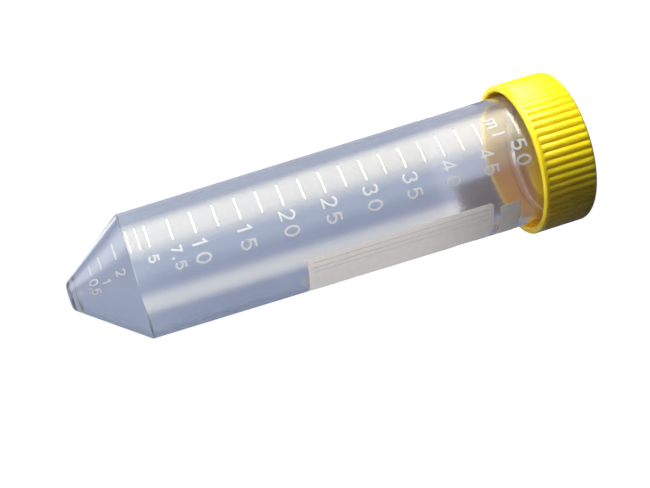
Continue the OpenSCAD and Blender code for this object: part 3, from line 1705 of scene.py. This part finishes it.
@dataclass
class Studio:
    """The pale floor, the soft lights and the camera.

    Floor and surround have one colour where they are looked at, one in reflections and
    through clear plastic, and a faint one that they throw onto dull surfaces.
    """

    eye: tuple[float, float, float] = (-5.472 * MM, -251.57 * MM, 104.37 * MM)
    elevation: float = 10.18
    roll: float = -107.32
    lens: float = 64.42
    sensor: float = 36.0
    floor_size: float = 8.0
    floor_white: Colour = (0.50, 0.50, 0.50)
    floor_cast: Colour = (0.10, 0.10, 0.11)
    floor_shade: Colour = (0.05, 0.05, 0.05)
    glow_seen: Colour = (0.97, 0.97, 0.97)
    glow_cast: Colour = (0.180, 0.230, 0.355)
    world_seen: Colour = (1.0, 1.0, 1.0)
    world_cast: Colour = (0.262, 0.320, 0.455)
    world_shade: Colour = (0.03, 0.03, 0.035)
    # Painted shade: a dark card behind the tube near the cap, seen only through its wall
    flag_place: tuple[float, float, float] = (-9.5 * MM, 68.0 * MM, 0.2 * MM)
    flag_size: tuple[float, float] = (17.0 * MM, 40.0 * MM)
    flag_glow: Colour = (0.058, 0.058, 0.085)
    overhead: float = 0.3
    overhead_width: float = 20.0
    panels: tuple[Panel, ...] = (
        # Dull surfaces: cap and scale, the cap from behind, writing panel, numbers of the cone
        Panel("key_wash", Throw.WASH, -36.0, 46.0, 12.0, 11.1),
        Panel("back_wash", Throw.WASH, 92.0, 44.0, 12.0, 4.0),
        Panel(
            "panel_wash", Throw.WASH, -165.0, 50.0, 12.0, 0.6,
            size=(100 * MM, 90 * MM), low=24 * MM, spread=32.0,
        ),
        Panel(
            "cone_wash", Throw.WASH, -85.0, 60.0, 20.0, 0.9,
            70 * MM, (60 * MM, 50 * MM), 125 * MM, -45.0, 80.0,
        ),
        # Reflections: the two bright bands of the body, the tone between, and the far side
        Panel(
            "key_sheen", Throw.SHEEN, -32.0, 88.0, 34.0, 11.0,
            foot=45 * MM, lean=25.0, cast=WARM_WHITE,
        ),
        Panel(
            "front_sheen", Throw.SHEEN, -78.0, 62.0, 26.0, 2.3,
            foot=60 * MM, lean=20.0, cast=COOL_WHITE,
        ),
        Panel(
            "side_sheen", Throw.SHEEN, 45.0, 120.0, 35.0, 0.55,
            60 * MM, (220 * MM, 150 * MM), lean=20.0,
        ),
        Panel(
            "band_sheen", Throw.SHEEN, -143.0, 54.0, 24.0, 6.9,
            60 * MM, (150 * MM, 130 * MM), 18 * MM, 20.0, cast=WARM_WHITE,
        ),
        # Reflections: the cap's skirt, the cone, and the limb of the cone and shoulder
        Panel("cap_sheen", Throw.SHEEN, -40.0, 66.0, 30.0, 20.0, 32 * MM, (90 * MM, 6 * MM)),
        Panel(
            "cone_sheen", Throw.SHEEN, 0.0, 74.0, 34.0, 4.5,
            103 * MM, (130 * MM, 110 * MM), 160 * MM, -52.0,
        ),
        Panel(
            "rim_sheen", Throw.SHEEN, 66.0, 44.0, 14.0, 1.8,
            100 * MM, (100 * MM, 40 * MM), 125 * MM,
        ),
    )

    def build_floor(self) -> None:
        """Builds the floor: white to look at, and a soft cool grey in what it lights."""
        bpy.ops.mesh.primitive_plane_add(size=self.floor_size, location=(0, 0, 0))
        floor = bpy.context.object
        floor.name = "floor"
        with editing(floor, "FACE"):
            bpy.ops.mesh.subdivide(number_cuts=3)
        surface = Surface("pale_floor")
        colour = surface.by_ray(self.floor_cast, self.floor_shade, self.floor_white)
        glow = surface.by_ray(self.glow_cast, NO_LIGHT, self.glow_seen)
        surface.feed(
            surface.shader,
            {
                "Base Color": colour,
                "Roughness": 0.9,
                "Specular IOR Level": 0.1,
                "Emission Color": glow,
                "Emission Strength": 1.0,
            },
        )
        floor.data.materials.append(surface.material)

    def build_flag(self) -> None:
        """Lays a small dark card on the floor behind the tube, seen only through its wall, as
        painted shade near the cap.
        """
        bpy.ops.mesh.primitive_plane_add(size=1.0, location=self.flag_place)
        shade_card = bpy.context.object
        shade_card.name = "dark_flag"
        shade_card.scale = (*self.flag_size, 1.0)
        apply_place(shade_card)
        surface = Surface("flag_cloth")
        surface.feed(
            surface.shader,
            {
                "Base Color": (*NO_LIGHT, 1.0),
                "Specular IOR Level": 0.0,
                "Emission Color": (*self.flag_glow, 1.0),
                "Emission Strength": 1.0,
            },
        )
        shade_card.data.materials.append(surface.material)
        shade_card.visible_camera = shade_card.visible_shadow = False

    def place_lights(self) -> None:
        """Places the soft boxes round the tube and the broad soft light overhead."""
        for panel in self.panels:
            panel.add()
        bpy.ops.object.light_add(type="SUN", location=(0, 0, 1.0))
        overhead = bpy.context.object
        overhead.name = "overhead"
        overhead.data.energy = self.overhead
        overhead.data.angle = math.radians(self.overhead_width)

    def set_world(self) -> None:
        """Sets a dim cool surround that looks white."""
        world = bpy.data.worlds.new("studio_surround")
        bpy.context.scene.world = world
        world.use_nodes = True
        sky = Canvas(world.node_tree)
        colour = sky.by_ray(self.world_cast, self.world_shade, self.world_seen)
        back = sky.feed(sky.node("ShaderNodeBackground"), {"Color": colour}).outputs[0]
        sky.feed(sky.node("ShaderNodeOutputWorld"), {"Surface": back})

    def place_camera(self) -> None:
        """Places the camera, turned on its side so that the standing tube runs across it."""
        tilt = Matrix.Rotation(math.radians(90.0 - self.elevation), 3, "X")
        turned = tilt @ Matrix.Rotation(math.radians(self.roll), 3, "Z")
        bpy.ops.object.camera_add(location=self.eye, rotation=turned.to_euler())
        camera = bpy.context.object
        camera.name = "camera"
        camera.data.sensor_width = self.sensor
        camera.data.lens = self.lens
        camera.data.clip_start, camera.data.clip_end = 0.01, 20.0
        bpy.context.scene.camera = camera

    def make(self) -> None:
        """Builds the floor, lights, surround and camera, and sets how light is followed."""
        self.build_floor()
        # The card paints shade that shows through the tube's wall near the cap
        self.build_flag()
        self.place_lights()
        self.set_world()
        self.place_camera()
        scene = bpy.context.scene
        scene.view_settings.view_transform = "Standard"
        scene.view_settings.look = "None"
        scene.cycles.max_bounces = 20
        scene.cycles.transmission_bounces = 20
        scene.cycles.transparent_max_bounces = 16
        scene.cycles.sample_clamp_indirect = 6.0
        scene.cycles.caustics_refractive = False


def main() -> None:
    """Builds the tube, its cap, its print and the studio."""
    logging.basicConfig(level=logging.INFO, format="%(name)s: %(message)s")
    effects = SharedEffects()
    tube, cap = TubeBody(), ScrewCap()
    pose = RestPose.from_frame()
    LOG.info("tip %.3f mm above the floor", pose.tip_height / MM)
    Studio().make()
    pieces = [tube.make(pose, effects), cap.make(pose, effects)]
    pieces += Scale(tube).make(pose, effects)
    pieces += WritingPanel(tube).make(pose, effects)
    for piece in pieces:
        LOG.info("%s: %d faces", piece.name, len(piece.data.polygons))


if __name__ == "__main__":
    main()
